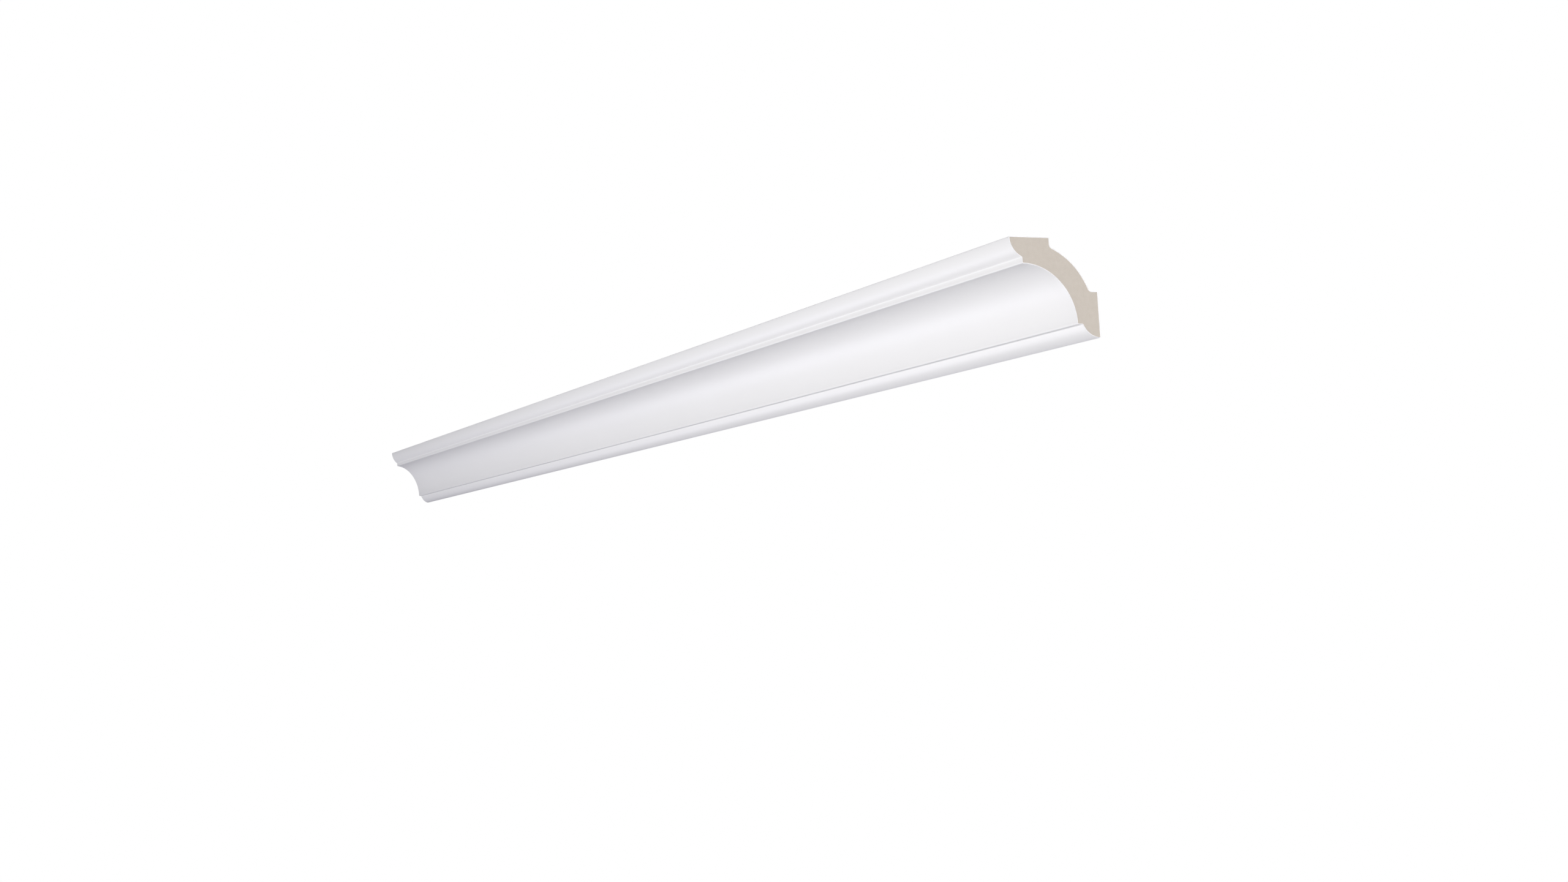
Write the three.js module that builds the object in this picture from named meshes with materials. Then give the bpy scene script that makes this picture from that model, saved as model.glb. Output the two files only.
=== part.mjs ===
// Crown moulding length: a moulded foam cove for the corner between a wall and a ceiling.
// Millimetres, +Z up. The run lies along X, the wall is the plane y = 0 and the room is towards -Y.
// The +X end is cut square. The -X end is mitred for an inside corner.
// The origin is the middle of the glue face that goes against the wall.

import * as THREE from 'three';

// Overall sizes
const LENGTH = 2000; // along the wall, at the glue face
const HEIGHT = 80; // down the wall
const PROJECTION = 80; // out along the ceiling
const MITRE_ANGLE = 45; // degrees off square

// Front profile: the same ovolo and flat at the ceiling and at the wall, with the cove between them
const OVOLO_RISE = 16.2; // from the wall or ceiling to the quirk
const OVOLO_SETBACK = 10.8; // from the outer edge back to the quirk
const FLAT_WIDTH = 5.0; // flat band between the quirk and the cove
const ARRIS_ROUND = 1.2; // outer corner where the flat meets the cove
const QUIRK_ROUND = 1.2; // inner corner where the flat meets the ovolo

// Back: two glue faces, each with a step, and the hollow between them
const WALL_PAD = 37.3;
const CEILING_PAD = 37.3;
const PAD_STEP = 7.8;
const THICKNESS = 19.4; // through the middle of the cove
const BACK_ROUND = 3.5; // inner corner between a step and the hollow

// Facets
const COVE_STEPS = 32;
const OVOLO_STEPS = 14;
const BACK_STEPS = 20;
const ROUND_STEPS = 5;

const QUARTER_TURN = Math.PI / 2;

// A point of the section, from its distance out from the wall and its drop below the ceiling.
function at(out, drop) {
	return new THREE.Vector2(out, -drop);
}

// The ovolo is an arc that starts square to the wall or ceiling and ends at the quirk.
function ovoloArc() {
	const radius = (OVOLO_RISE ** 2 + OVOLO_SETBACK ** 2) / (2 * OVOLO_SETBACK);
	const sweep = Math.atan2(OVOLO_RISE, radius - OVOLO_SETBACK);
	return { radius, sweep };
}

// The closed run of curves round the section, clockwise from the inner end of the ceiling glue face.
// Each has its number of facets and the radius of the corner at its end.
function sectionCurves() {
	const line = (from, to, round = 0) => ({ curve: new THREE.LineCurve(from, to), steps: 1, round });
	const ovolo = ovoloArc();
	const coveEdge = OVOLO_RISE + FLAT_WIDTH;
	const coveOut = PROJECTION - OVOLO_SETBACK;
	const coveDrop = HEIGHT - OVOLO_SETBACK;

	const ceilingPadEnd = at(PROJECTION - CEILING_PAD, 0);
	const lip = at(PROJECTION, 0);
	const upperQuirk = at(coveOut, OVOLO_RISE);
	const upperArris = at(coveOut, coveEdge);
	const lowerArris = at(coveEdge, coveDrop);
	const lowerQuirk = at(OVOLO_RISE, coveDrop);
	const foot = at(0, HEIGHT);
	const wallPadEnd = at(0, HEIGHT - WALL_PAD);
	const wallStep = at(PAD_STEP, HEIGHT - WALL_PAD);
	const ceilingStep = at(PROJECTION - CEILING_PAD, PAD_STEP);

	const upperOvolo = new THREE.EllipseCurve(
		PROJECTION - ovolo.radius, 0, ovolo.radius, ovolo.radius, 0, -ovolo.sweep, true,
	);
	const lowerOvolo = new THREE.EllipseCurve(
		0, ovolo.radius - HEIGHT, ovolo.radius, ovolo.radius, ovolo.sweep - QUARTER_TURN, -QUARTER_TURN, true,
	);
	const cove = new THREE.EllipseCurve(
		coveOut, -coveDrop, coveOut - coveEdge, coveDrop - coveEdge, QUARTER_TURN, 2 * QUARTER_TURN, false,
	);

	// The hollow is a shallow curve, whose middle lies one thickness behind the middle of the cove.
	const coveMiddle = cove.getPoint(0.5);
	const towardsCorner = coveMiddle.clone().sub(at(coveOut, coveDrop)).normalize();
	const hollowMiddle = coveMiddle.clone().addScaledVector(towardsCorner, THICKNESS);
	const chordMiddle = wallStep.clone().add(ceilingStep).multiplyScalar(0.5);
	const control = hollowMiddle.multiplyScalar(2).sub(chordMiddle);
	const hollow = new THREE.QuadraticBezierCurve(wallStep, control, ceilingStep);

	return [
		line(ceilingPadEnd, lip),
		{ curve: upperOvolo, steps: OVOLO_STEPS, round: QUIRK_ROUND },
		line(upperQuirk, upperArris, ARRIS_ROUND),
		{ curve: cove, steps: COVE_STEPS, round: ARRIS_ROUND },
		line(lowerArris, lowerQuirk, QUIRK_ROUND),
		{ curve: lowerOvolo, steps: OVOLO_STEPS, round: 0 },
		line(foot, wallPadEnd),
		line(wallPadEnd, wallStep, BACK_ROUND),
		{ curve: hollow, steps: BACK_STEPS, round: BACK_ROUND },
		line(ceilingStep, ceilingPadEnd),
	];
}

// How much of each curve the rounded corner takes, measured along the curve from that corner.
function cornerLeg(before, after, round) {
	const turn = before.getTangent(1).angleTo(after.getTangent(0));
	return { turn, leg: round * Math.tan(turn / 2) };
}

// A round corner as a Bezier curve that keeps to the circle of that turn.
function cornerCurve(start, corner, end, turn) {
	const pull = (4 / 3) * Math.tan(turn / 4) / Math.tan(turn / 2);
	return new THREE.CubicBezierCurve(
		start, start.clone().lerp(corner, pull), end.clone().lerp(corner, pull), end,
	);
}

// The points round the section: each curve between its two corners, then the corner at its end.
function sectionPoints() {
	const curves = sectionCurves();
	const corners = curves.map(({ curve, round }, i) => {
		const next = curves[(i + 1) % curves.length].curve;
		return cornerLeg(curve, next, round);
	});
	const points = [];
	curves.forEach(({ curve, steps, round }, i) => {
		const length = curve.getLength();
		const first = corners[(i + curves.length - 1) % curves.length].leg / length;
		const last = 1 - corners[i].leg / length;
		for (let step = 0; step < steps; step++) {
			points.push(curve.getPointAt(first + (last - first) * step / steps));
		}
		if (round > 0) {
			const next = curves[(i + 1) % curves.length].curve;
			const start = curve.getPointAt(last);
			const end = next.getPointAt(corners[i].leg / next.getLength());
			const bend = cornerCurve(start, next.getPoint(0), end, corners[i].turn);
			points.push(...bend.getPoints(ROUND_STEPS).slice(0, -1));
		}
	});
	return points;
}

// Slides every point of the far end back along the run by its distance out from the wall.
function cutMitre(geometry) {
	const slope = Math.tan(THREE.MathUtils.degToRad(MITRE_ANGLE));
	const position = geometry.getAttribute('position');
	for (let i = 0; i < position.count; i++) {
		if (position.getZ(i) > LENGTH / 2) {
			position.setZ(i, LENGTH - slope * position.getX(i));
		}
	}
	position.needsUpdate = true;
	geometry.computeVertexNormals();
}

// The section is drawn out from the wall and up, and runs from the square end to the mitre.
function crownMoulding() {
	const section = new THREE.Shape(sectionPoints());
	const geometry = new THREE.ExtrudeGeometry(section, { depth: LENGTH, steps: 1, bevelEnabled: false });
	cutMitre(geometry);

	const primedFoam = new THREE.MeshStandardMaterial({ color: 0xf4f4f6, roughness: 0.55, metalness: 0 });
	const mesh = new THREE.Mesh(geometry, primedFoam);
	mesh.name = 'crown_moulding';

	const outwards = new THREE.Vector3(0, -1, 0);
	const upwards = new THREE.Vector3(0, 0, 1);
	const alongTheRun = new THREE.Vector3(-1, 0, 0);
	mesh.quaternion.setFromRotationMatrix(new THREE.Matrix4().makeBasis(outwards, upwards, alongTheRun));
	mesh.position.set(LENGTH / 2, 0, HEIGHT - WALL_PAD / 2);
	return mesh;
}

const crownMouldingLength = new THREE.Group();
crownMouldingLength.add(crownMoulding());

export default crownMouldingLength;
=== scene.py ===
import math

import bpy
import numpy as np
from mathutils import Euler, Matrix, Vector


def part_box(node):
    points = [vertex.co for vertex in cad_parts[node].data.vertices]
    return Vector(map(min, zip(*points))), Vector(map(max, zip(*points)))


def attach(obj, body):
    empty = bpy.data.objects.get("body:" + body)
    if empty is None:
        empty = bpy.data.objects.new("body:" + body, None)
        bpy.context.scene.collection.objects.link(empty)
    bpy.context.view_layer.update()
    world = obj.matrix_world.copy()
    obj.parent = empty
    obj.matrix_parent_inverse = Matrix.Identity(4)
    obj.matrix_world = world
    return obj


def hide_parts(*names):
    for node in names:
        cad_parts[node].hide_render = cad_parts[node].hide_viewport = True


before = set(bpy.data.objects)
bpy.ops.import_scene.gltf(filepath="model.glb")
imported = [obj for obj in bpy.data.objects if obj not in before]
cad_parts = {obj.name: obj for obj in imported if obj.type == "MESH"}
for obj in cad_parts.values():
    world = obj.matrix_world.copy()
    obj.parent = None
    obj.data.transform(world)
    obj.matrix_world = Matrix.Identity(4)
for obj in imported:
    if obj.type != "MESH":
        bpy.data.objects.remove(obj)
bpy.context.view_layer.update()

# The moulding
# One length of cove, cast in hard polyurethane foam with a white satin coat all round, and glued up by its
# flat top face and back face. The +X end is sawn square and the -X end at 45 degrees for an inside corner,
# and both cuts show the bare beige foam inside the thin line of the coat.

low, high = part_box("crown_moulding")
LENGTH = high.x - low.x
PROJECTION = high.y - low.y
HEIGHT = high.z - low.z

# Front: an ovolo and a flat below the lip and the same above the foot, with the cove between them
OVOLO_RISE = 0.0162  # from the lip or the foot to the quirk, the inner corner at the flat
OVOLO_SETBACK = 0.0108
FLAT_WIDTH = 0.0050
ARRIS_ROUND = 0.0012
QUIRK_ROUND = 0.0012

# Back: two glue faces, each with a step to the hollow
GLUE_FACE = 0.0373
STEP_DEPTH = 0.0078
THICKNESS = 0.0194  # through the middle of the cove
BACK_ROUND = 0.0035
EDGE_ROUND = 0.0006

# Cut ends
COAT = 0.0005  # thickness of the coat
FOAM_SUNK = 0.00008  # the saw takes the softer foam a little deeper than the coat
GRAIN_DEPTH = 0.00006
GRAIN_FADE = 6.0  # how soon the grain has its full depth, counted from the coat

# Points round the section, with as many from the lip to the foot by the front as by the back
OVOLO_POINTS = 40
FLAT_POINTS = 6
COVE_POINTS = 90
QUIRK_POINTS = 10
ARRIS_POINTS = 12
EDGE_POINTS = 4
GLUE_POINTS = 58
STEP_POINTS = 6
BACK_POINTS = 14
HALF_LOOP = EDGE_POINTS + 2 * (OVOLO_POINTS + QUIRK_POINTS + FLAT_POINTS + ARRIS_POINTS) + COVE_POINTS
HOLLOW_POINTS = HALF_LOOP - 3 * EDGE_POINTS - 2 * (GLUE_POINTS + STEP_POINTS + BACK_POINTS)

RINGS = 33  # sections along the run
ACROSS = 28  # faces through the thickness of a cut end
CURVE_SAMPLES = 401  # on each stretch, to measure along it
SHARP = math.radians(30)  # an edge that turns more is drawn sharp

COAT_WHITE = (0.868, 0.861, 0.864, 1.0)
COAT_SHADE = (0.853, 0.846, 0.849, 1.0)
COAT_PATCH = 9.0  # scale of its faint change of tone
COAT_ROUGH = (0.42, 0.54)  # least and most
PEEL_SCALE = 420.0
PEEL_DEPTH = 0.000016

FOAM_BEIGE = (0.598, 0.545, 0.476, 1.0)
FOAM_SHADE = (0.540, 0.486, 0.417, 1.0)
FOAM_PATCH = 260.0
TONE_DETAIL = 3.0
FOAM_ROUGH = 0.9
CELL_SCALE = 2400.0
CELL_DEPTH = 0.00007


def straight(start, end):
    """A straight line: start plus a share of the way to end."""
    a, b = np.array(start), np.array(end)
    return lambda t: a + np.outer(t, b - a)


def round_arc(centre, radii, first, last):
    """Part of an ellipse: the centre plus the radii times cosine and sine of an angle, first to last."""
    def curve(t):
        angle = first + (last - first) * t
        return np.array(centre) + np.array(radii) * np.stack([np.cos(angle), np.sin(angle)], 1)
    return curve


def bow(start, pull, end):
    """A parabola from start to end: (1-t)^2 of start, 2t(1-t) of the point pull and t^2 of end."""
    a, b, c = np.array(start), np.array(pull), np.array(end)
    return lambda t: np.outer((1 - t) ** 2, a) + np.outer(2 * t * (1 - t), b) + np.outer(t ** 2, c)


def outline(stretches):
    """
    The closed line through all stretches, each given as (curve, points, corner round, corner points).
    Where two stretches meet, each is cut short by the round times the tangent of half the turn, and a cubic
    curve that keeps to the circle of that turn joins the two cut ends.
    """
    paths = [curve(np.linspace(0, 1, CURVE_SAMPLES)) for curve, *_ in stretches]
    runs = [np.r_[0, np.cumsum(np.linalg.norm(np.diff(p, axis=0), axis=1))] for p in paths]
    turns = []
    for path, following in zip(paths, paths[1:] + paths[:1]):
        leave, enter = path[-1] - path[-2], following[1] - following[0]
        turns.append(math.acos(leave @ enter / (np.linalg.norm(leave) * np.linalg.norm(enter))))
    legs = [radius * math.tan(turn / 2) for turn, (_, _, radius, _) in zip(turns, stretches)]

    def along(i, distance):
        return np.stack([np.interp(distance, runs[i], paths[i][:, axis]) for axis in (0, 1)], 1)

    loop = []
    for i, (_, count, _, corner_count) in enumerate(stretches):
        after = (i + 1) % len(stretches)
        last = runs[i][-1] - legs[i]
        loop.append(along(i, np.linspace(legs[i - 1], last, count, endpoint=False)))
        cut, corner, resume = along(i, [last])[0], paths[i][-1], along(after, [legs[i]])[0]
        pull = 4 / 3 * math.tan(turns[i] / 4) / math.tan(turns[i] / 2)
        near, far = cut + pull * (corner - cut), resume + pull * (corner - resume)
        t = np.linspace(0, 1, corner_count, endpoint=False)[:, None]
        bend = (1 - t) ** 3 * cut + 3 * t * (1 - t) ** 2 * near
        loop.append(bend + 3 * t ** 2 * (1 - t) * far + t ** 3 * resume)
    return np.concatenate(loop)


def section():
    """
    The closed section as (out from the back face, drop below the top face): from the lip down the front to
    the foot, up the back face, through the hollow and along the top face. The ovolos are arcs of a circle,
    the cove is a quarter of an ellipse, and the hollow is a parabola whose middle lies one thickness behind
    the cove's.
    """
    radius = (OVOLO_RISE ** 2 + OVOLO_SETBACK ** 2) / (2 * OVOLO_SETBACK)
    sweep = math.atan2(OVOLO_RISE, radius - OVOLO_SETBACK)
    quarter = math.pi / 2
    edge = OVOLO_RISE + FLAT_WIDTH
    out, drop = PROJECTION - OVOLO_SETBACK, HEIGHT - OVOLO_SETBACK

    lip, top_end = (PROJECTION, 0), (PROJECTION - GLUE_FACE, 0)
    foot, back_end = (0, HEIGHT), (0, HEIGHT - GLUE_FACE)
    top_step = np.array([PROJECTION - GLUE_FACE, STEP_DEPTH])
    back_step = np.array([STEP_DEPTH, HEIGHT - GLUE_FACE])
    cove_middle = np.array([out, drop]) - np.array([out - edge, drop - edge]) * math.sqrt(0.5)
    backwards = cove_middle - (out, drop)
    hollow_middle = cove_middle + THICKNESS * backwards / np.linalg.norm(backwards)
    hollow_pull = 2 * hollow_middle - (back_step + top_step) / 2

    upper_ovolo = round_arc((PROJECTION - radius, 0), (radius, radius), 0, sweep)
    cove = round_arc((out, drop), (out - edge, drop - edge), -quarter, -2 * quarter)
    lower_ovolo = round_arc((0, HEIGHT - radius), (radius, radius), quarter - sweep, quarter)
    loop = outline([
        (upper_ovolo, OVOLO_POINTS, QUIRK_ROUND, QUIRK_POINTS),
        (straight((out, OVOLO_RISE), (out, edge)), FLAT_POINTS, ARRIS_ROUND, ARRIS_POINTS),
        (cove, COVE_POINTS, ARRIS_ROUND, ARRIS_POINTS),
        (straight((edge, drop), (OVOLO_RISE, drop)), FLAT_POINTS, QUIRK_ROUND, QUIRK_POINTS),
        (lower_ovolo, OVOLO_POINTS, EDGE_ROUND, EDGE_POINTS),
        (straight(foot, back_end), GLUE_POINTS, EDGE_ROUND, EDGE_POINTS),
        (straight(back_end, back_step), STEP_POINTS, BACK_ROUND, BACK_POINTS),
        (bow(back_step, hollow_pull, top_step), HOLLOW_POINTS, BACK_ROUND, BACK_POINTS),
        (straight(top_step, top_end), STEP_POINTS, EDGE_ROUND, EDGE_POINTS),
        (straight(top_end, lip), GLUE_POINTS, EDGE_ROUND, EDGE_POINTS),
    ])
    return np.roll(loop, EDGE_POINTS, axis=0)  # so that it starts with the lip's own round


def inset(loop, depth):
    """Moves each point of a closed line inwards by depth, along the line that halves its corner."""
    ahead = np.roll(loop, -1, axis=0) - loop
    ahead /= np.linalg.norm(ahead, axis=1, keepdims=True)
    side = np.stack([-ahead[:, 1], ahead[:, 0]], 1)
    both = side + np.roll(side, 1, axis=0)
    return loop + depth * 2 * both / (both ** 2).sum(1, keepdims=True)


def place(points, share, depth=0.0):
    """
    Section points in their place. Out is -Y from the back face and drop counts down from the top face. A
    share of 0 is the square end and 1 the mitred end, where the run is shorter by the distance out. The
    depth is how far the points lie inside that end.
    """
    out, drop = points[..., 0], points[..., 1]
    run = depth + share * (LENGTH - out - 2 * depth)
    return np.stack([high.x - run, high.y - out, high.z - drop], -1)


def band(first, second):
    """Quads between two closed rings of vertex numbers."""
    return np.stack([first, np.roll(first, -1), np.roll(second, -1), second], 1)


def bare_foam(core, share, seed):
    """
    The points of one cut face: straight rules from the front of the core to its back, sunk below the coat
    by a fixed depth plus a random grain that fades out at the coat.
    """
    front, back = core[1:HALF_LOOP], core[:HALF_LOOP:-1]
    t = np.linspace(0, 1, ACROSS + 1)[1:-1, None]
    rules = front[:, None] * (1 - t) + back[:, None] * t
    fade = np.minimum(1, GRAIN_FADE * np.sqrt(t * (1 - t)))[:, 0]
    grain = np.random.default_rng(seed).random(rules.shape[:2]) * fade
    return place(rules, share, FOAM_SUNK + GRAIN_DEPTH * grain).reshape(-1, 3)


def foam_faces(rim, inner):
    """
    Faces of one cut face as (quads, triangles). Each rule of inner points joins two points of the rim, the
    ring of vertex numbers round the core, and the first and last point of the rim close it with a fan.
    """
    rules = inner.reshape(HALF_LOOP - 1, ACROSS - 1)
    grid = np.column_stack([rim[1:HALF_LOOP], rules, rim[:HALF_LOOP:-1]])
    quads = np.stack([grid[:-1, :-1], grid[1:, :-1], grid[1:, 1:], grid[:-1, 1:]], -1).reshape(-1, 4)
    lip, foot = np.full(ACROSS, rim[0]), np.full(ACROSS, rim[HALF_LOOP])
    fans = np.stack([[lip, grid[0, :-1], grid[0, 1:]], [grid[-1, :-1], foot, grid[-1, 1:]]])
    return quads, fans.transpose(0, 2, 1).reshape(-1, 3)


def moulding_mesh():
    """
    The section carried along the run as rings of points, and at each end the cut coat, which is the ring
    between the section and its inset, a small step down and the bare foam.
    """
    loop = section()
    core = inset(loop, COAT)
    around = len(loop)
    points = [place(loop, share) for share in np.linspace(0, 1, RINGS)]
    rings = np.arange(RINGS * around).reshape(RINGS, around)
    coat = [band(after, before) for before, after in zip(rings, rings[1:])]
    foam_quads, foam_fans = [], []
    next_number = rings.size
    for share, outer, seed, winding in ((0, rings[0], 1, 1), (1, rings[-1], 2, -1)):
        inside = bare_foam(core, share, seed)
        points += [place(core, share), place(core, share, FOAM_SUNK), inside]
        coat_edge = next_number + np.arange(around)
        rim = coat_edge + around
        inner = next_number + 2 * around + np.arange(len(inside))
        next_number += 2 * around + len(inside)
        quads, fans = foam_faces(rim, inner)
        coat += [band(outer, coat_edge)[:, ::winding], band(coat_edge, rim)[:, ::winding]]
        foam_quads.append(quads[:, ::winding])
        foam_fans.append(fans[:, ::winding])

    coat, foam_quads, foam_fans = (np.concatenate(faces) for faces in (coat, foam_quads, foam_fans))
    mesh = bpy.data.meshes.new("crown_moulding_piece")
    mesh.from_pydata(np.concatenate(points), [], coat.tolist() + foam_quads.tolist() + foam_fans.tolist())
    slots = np.zeros(len(mesh.polygons), np.int32)
    slots[len(coat):] = 1
    mesh.polygons.foreach_set("material_index", slots)
    mesh.polygons.foreach_set("use_smooth", np.ones(len(mesh.polygons), bool))
    mesh.set_sharp_from_angle(angle=SHARP)
    mesh.validate()
    return mesh


def uneven_tone():
    """Two colours mixed by a soft noise, so that a plain surface isn't quite even."""
    group = bpy.data.node_groups.new("uneven_tone", "ShaderNodeTree")
    for name, kind in (("Vector", "NodeSocketVector"), ("Light", "NodeSocketColor"),
                       ("Dark", "NodeSocketColor"), ("Scale", "NodeSocketFloat")):
        group.interface.new_socket(name, in_out="INPUT", socket_type=kind)
    group.interface.new_socket("Color", in_out="OUTPUT", socket_type="NodeSocketColor")
    inputs, outputs = group.nodes.new("NodeGroupInput"), group.nodes.new("NodeGroupOutput")
    noise, mix = group.nodes.new("ShaderNodeTexNoise"), group.nodes.new("ShaderNodeMix")
    mix.data_type = "RGBA"
    noise.inputs["Detail"].default_value = TONE_DETAIL
    group.links.new(inputs.outputs["Vector"], noise.inputs["Vector"])
    group.links.new(inputs.outputs["Scale"], noise.inputs["Scale"])
    group.links.new(noise.outputs["Fac"], mix.inputs["Factor"])
    group.links.new(inputs.outputs["Light"], mix.inputs["A"])
    group.links.new(inputs.outputs["Dark"], mix.inputs["B"])
    group.links.new(mix.outputs["Result"], outputs.inputs["Color"])
    return group


def finish(name, light, dark, patch, grain, grain_scale, grain_depth):
    """
    A Principled material: the uneven tone as its colour, and a grain texture as the height of its bump.
    Gives the material, its shader and its grain texture, for the settings that only this finish has.
    """
    material = bpy.data.materials.new(name)
    material.use_nodes = True
    nodes, links = material.node_tree.nodes, material.node_tree.links
    shader, where = nodes["Principled BSDF"], nodes.new("ShaderNodeTexCoord")
    tone, bump, texture = nodes.new("ShaderNodeGroup"), nodes.new("ShaderNodeBump"), nodes.new(grain)
    tone.node_tree = UNEVEN_TONE
    tone.inputs["Light"].default_value = light
    tone.inputs["Dark"].default_value = dark
    tone.inputs["Scale"].default_value = patch
    texture.inputs["Scale"].default_value = grain_scale
    bump.inputs["Distance"].default_value = grain_depth
    links.new(where.outputs["Object"], tone.inputs["Vector"])
    links.new(where.outputs["Object"], texture.inputs["Vector"])
    links.new(tone.outputs["Color"], shader.inputs["Base Color"])
    links.new(texture.outputs[0], bump.inputs["Height"])
    links.new(bump.outputs["Normal"], shader.inputs["Normal"])
    return material, shader, texture


def white_coat():
    """The sprayed coat: nearly even white, with a fine orange peel that is glossier in its hollows."""
    material, shader, peel = finish("white_factory_coat", COAT_WHITE, COAT_SHADE, COAT_PATCH,
                                    "ShaderNodeTexNoise", PEEL_SCALE, PEEL_DEPTH)
    gloss = material.node_tree.nodes.new("ShaderNodeMapRange")
    gloss.inputs["To Min"].default_value, gloss.inputs["To Max"].default_value = COAT_ROUGH
    material.node_tree.links.new(peel.outputs["Fac"], gloss.inputs["Value"])
    material.node_tree.links.new(gloss.outputs["Result"], shader.inputs["Roughness"])
    return material


def sawn_foam():
    """The cut foam: matt beige, with closed cells under half a millimetre across as the distance to the
    nearest of many scattered points."""
    material, shader, _ = finish("sawn_foam", FOAM_BEIGE, FOAM_SHADE, FOAM_PATCH,
                                 "ShaderNodeTexVoronoi", CELL_SCALE, CELL_DEPTH)
    shader.inputs["Roughness"].default_value = FOAM_ROUGH
    return material


UNEVEN_TONE = uneven_tone()
moulding = bpy.data.objects.new("crown_moulding_piece", moulding_mesh())
bpy.context.collection.objects.link(moulding)
moulding.data.materials.append(white_coat())
moulding.data.materials.append(sawn_foam())
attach(moulding, "root")
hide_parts("crown_moulding")

# The floor
# A plain pale studio floor, as far below the moulding as in use, that fades out into the white backdrop. It
# gives no light back, so that the underside keeps its shade.

FLOOR_DROP = 2.4
FLOOR_RADIUS = 7.0
FADE_START = 3.0
FLOOR_GREY = (0.60, 0.60, 0.60, 1.0)
BLACK = (0.0, 0.0, 0.0, 1.0)
FLOOR_POINTS = 128


def floor_disc(level):
    """A disc: the radius times cosine and sine of the angle, at one height."""
    angle = np.linspace(0, 2 * math.pi, FLOOR_POINTS, endpoint=False)
    rim = np.stack([np.cos(angle), np.sin(angle), np.zeros_like(angle)], 1) * FLOOR_RADIUS + (0, 0, level)
    mesh = bpy.data.meshes.new("floor")
    mesh.from_pydata(rim, [], [list(range(FLOOR_POINTS))])
    return mesh


def pale_floor(level):
    """
    An even grey of its own, so that no light makes a patch. It turns see-through towards the rim, by a
    smooth step of the distance from the middle.
    """
    material = bpy.data.materials.new("pale_floor")
    material.use_nodes = True
    nodes, links = material.node_tree.nodes, material.node_tree.links
    shader, where = nodes["Principled BSDF"], nodes.new("ShaderNodeTexCoord")
    distance, fade = nodes.new("ShaderNodeVectorMath"), nodes.new("ShaderNodeMapRange")
    shader.inputs["Base Color"].default_value = BLACK
    shader.inputs["Specular IOR Level"].default_value = 0.0
    shader.inputs["Emission Color"].default_value = FLOOR_GREY
    shader.inputs["Emission Strength"].default_value = 1.0
    distance.operation = "DISTANCE"
    distance.inputs[1].default_value = (0, 0, level)
    fade.interpolation_type = "SMOOTHSTEP"
    fade.inputs["From Min"].default_value = FADE_START
    fade.inputs["From Max"].default_value = FLOOR_RADIUS
    fade.inputs["To Min"].default_value = 1.0
    fade.inputs["To Max"].default_value = 0.0
    links.new(where.outputs["Object"], distance.inputs[0])
    links.new(distance.outputs["Value"], fade.inputs["Value"])
    links.new(fade.outputs["Result"], shader.inputs["Alpha"])
    return material


floor = bpy.data.objects.new("floor", floor_disc(high.z - FLOOR_DROP))
bpy.context.collection.objects.link(floor)
floor.data.materials.append(pale_floor(high.z - FLOOR_DROP))
floor.visible_diffuse = False
floor.visible_glossy = False

# The light
# A white studio: an even cool surround, which the camera sees as pure white, a large soft key low in front,
# a weak light low beyond the mitre for the sheen, one off each cut end, one low behind the foot, and a wide
# top light.

PAPER_WHITE = (1.0, 1.0, 1.0, 1.0)
SURROUND = (0.176, 0.175, 0.210, 1.0)
NEUTRAL = (1.0, 1.0, 1.0)
WARM = (1.0, 1.0, 0.965)
COOL = (1.0, 1.0, 1.15)

# What the lights face
RUN_MIDDLE = (0.2, -0.04, 0.02)
SQUARE_CUT = (1.0, -0.04, 0.02)
MITRE = (-1.0, -0.04, 0.02)
FOOT = (0.7, 0.0, -0.02)

TOP_TILT = math.radians(16)
TOP_STRENGTH = 2.15
TOP_SPREAD = math.radians(30)


def white_studio():
    """A world that lights evenly with the surround, and shows the camera the paper's white."""
    world = bpy.data.worlds.new("white_studio")
    world.use_nodes = True
    nodes, links = world.node_tree.nodes, world.node_tree.links
    backdrop, surround = nodes["Background"], nodes.new("ShaderNodeBackground")
    choice, ray = nodes.new("ShaderNodeMixShader"), nodes.new("ShaderNodeLightPath")
    backdrop.inputs["Color"].default_value = PAPER_WHITE
    surround.inputs["Color"].default_value = SURROUND
    links.new(ray.outputs["Is Camera Ray"], choice.inputs["Fac"])
    links.new(surround.outputs["Background"], choice.inputs[1])
    links.new(backdrop.outputs["Background"], choice.inputs[2])
    links.new(choice.outputs["Shader"], nodes["World Output"].inputs["Surface"])
    return world


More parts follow.
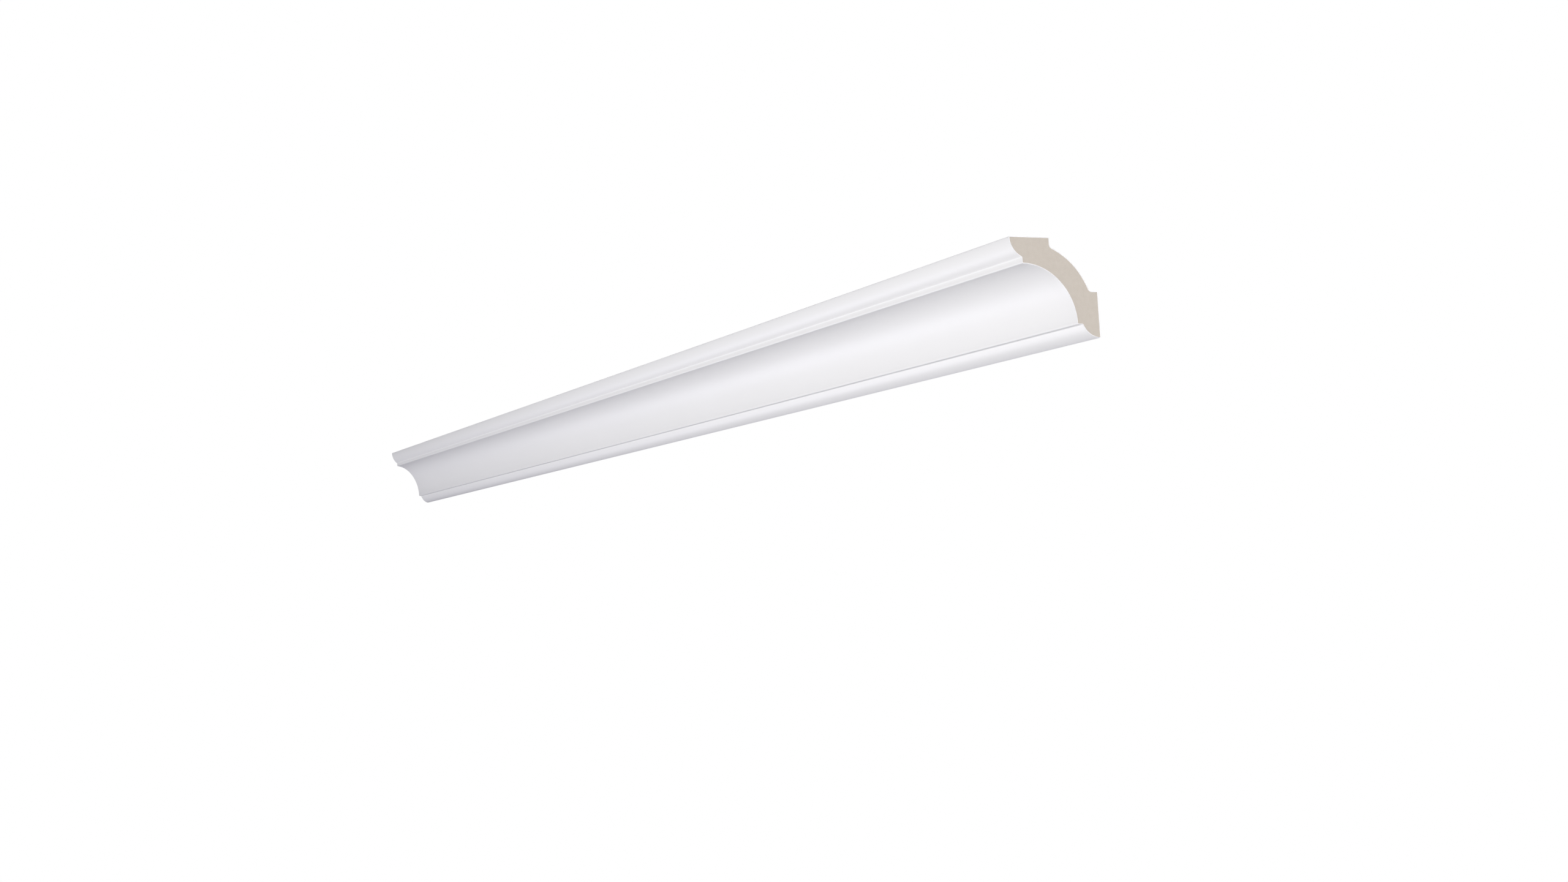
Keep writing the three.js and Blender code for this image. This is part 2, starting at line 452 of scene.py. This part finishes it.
def soft_box(name, at, aim, size, watts, colour, spread):
    """A round soft light that faces the point aim, with its beam kept to the spread in degrees."""
    data = bpy.data.lights.new(name, "AREA")
    data.shape = "DISK"
    data.size = size
    data.energy = watts
    data.color = colour
    data.spread = math.radians(spread)
    light = bpy.data.objects.new(name, data)
    bpy.context.collection.objects.link(light)
    light.location = at
    light.rotation_euler = (Vector(aim) - Vector(at)).to_track_quat("-Z", "Y").to_euler()


def top_light():
    """A wide sun that shines down and forwards, on the two glue faces and the hollow."""
    data = bpy.data.lights.new("top_light", "SUN")
    data.energy = TOP_STRENGTH
    data.angle = TOP_SPREAD
    light = bpy.data.objects.new("top_light", data)
    bpy.context.collection.objects.link(light)
    light.rotation_euler = (-TOP_TILT, 0, 0)


bpy.context.scene.world = white_studio()
soft_box("key", at=(1.6, -3.5, -1.5), aim=RUN_MIDDLE, size=1.3, watts=126.0, colour=WARM, spread=180)
soft_box("sheen", at=(-2.8, -1.3, -2.1), aim=SQUARE_CUT, size=1.0, watts=4.5, colour=COOL, spread=80)
soft_box("end_light", at=(3.9, 0.35, 0.0), aim=SQUARE_CUT, size=0.9, watts=3.6, colour=NEUTRAL, spread=40)
soft_box("foot_light", at=(0.9, 2.2, -1.5), aim=FOOT, size=1.0, watts=6.0, colour=NEUTRAL, spread=80)
soft_box("mitre_light", at=(-3.9, 0.6, 0.35), aim=MITRE, size=0.4, watts=5.6, colour=NEUTRAL, spread=40)
top_light()

# The camera
# It stands a little below the moulding, out in front and past its square end, and looks up along the run.

CAMERA_PLACE = (2.2827, -0.9074, -0.2043)
HEADING = math.radians(64.141)  # to the left of +Y
LOOK_UP = math.radians(4.360)
ROLL = math.radians(-3.381)
SENSOR = 36.0
LENS = 44.90

camera_data = bpy.data.cameras.new("camera")
camera_data.sensor_width = SENSOR
camera_data.lens = LENS
camera = bpy.data.objects.new("camera", camera_data)
bpy.context.collection.objects.link(camera)
camera.location = CAMERA_PLACE
facing = Euler((math.pi / 2 + LOOK_UP, 0, HEADING)).to_matrix() @ Matrix.Rotation(ROLL, 3, "Z")
camera.rotation_euler = facing.to_euler()
bpy.context.scene.camera = camera
bpy.context.scene.view_settings.view_transform = "Standard"
